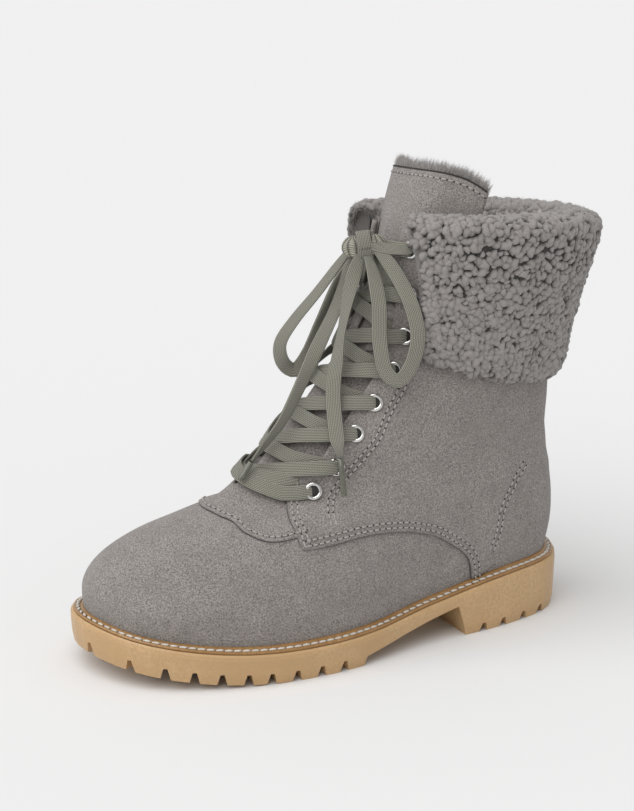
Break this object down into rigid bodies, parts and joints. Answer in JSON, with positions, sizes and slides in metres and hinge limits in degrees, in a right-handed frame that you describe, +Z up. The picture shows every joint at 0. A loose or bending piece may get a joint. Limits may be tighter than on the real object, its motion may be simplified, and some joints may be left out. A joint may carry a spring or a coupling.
{
  "type": "sheepskin boot",
  "caption": "Left ankle boot in suede with a folded wool cuff, wool lining, laced front, stitched welt and a lugged gum rubber sole.",
  "frame": {"origin": "on the floor under the middle of the heel, in the heel's flat resting face", "axes": "+X from heel to toe, +Y to the wearer's left (the outer side of this left boot), +Z up"},
  "size_m": [0.2936, 0.1136, 0.2528],
  "materials": {
    "suede": "matte nubuck suede, warm grey",
    "wool": "curly sheepskin wool, warm grey",
    "lining": "dense short wool pile, pale grey",
    "gum_rubber": "translucent honey gum rubber, satin",
    "welt_leather": "waxed caramel leather, semi-gloss",
    "lace": "flat woven lace, olive grey",
    "nickel": "polished nickel plate",
    "brass": "aged brass, satin",
    "aglet": "clear film over the lace tip, glossy",
    "thread_white": "thick waxed off-white thread",
    "thread_grey": "fine matt grey thread"
  },
  "bodies": {
    "root": {"outsole": "gum_rubber", "welt": "welt_leather", "insole": "lining", "upper": "suede", "cuff": "wool", "tongue": "suede", "lace_keeper": "suede", "eyelet_lateral_1": "nickel", "eyelet_lateral_2": "nickel", "eyelet_lateral_3": "nickel", "eyelet_lateral_4": "nickel", "eyelet_lateral_5": "nickel", "eyelet_lateral_6": "nickel", "eyelet_lateral_7": "nickel", "eyelet_lateral_8": "nickel", "eyelet_medial_1": "nickel", "eyelet_medial_2": "nickel", "eyelet_medial_3": "nickel", "eyelet_medial_4": "nickel", "eyelet_medial_5": "nickel", "eyelet_medial_6": "nickel", "eyelet_medial_7": "nickel", "eyelet_medial_8": "nickel", "lace_bar": "lace", "lace_cross_1": "lace", "lace_cross_2": "lace", "lace_cross_3": "lace", "lace_cross_4": "lace", "lace_cross_5": "lace", "lace_cross_6": "lace", "lace_cross_7": "lace", "lace_top": "lace", "lace_knot": "lace", "lace_loop_lateral": "lace", "lace_loop_medial": "lace", "lace_end_medial": "lace", "lace_end_lateral": "lace", "aglet_medial": "aglet", "aglet_lateral": "aglet"}
  },
  "joints": []
}
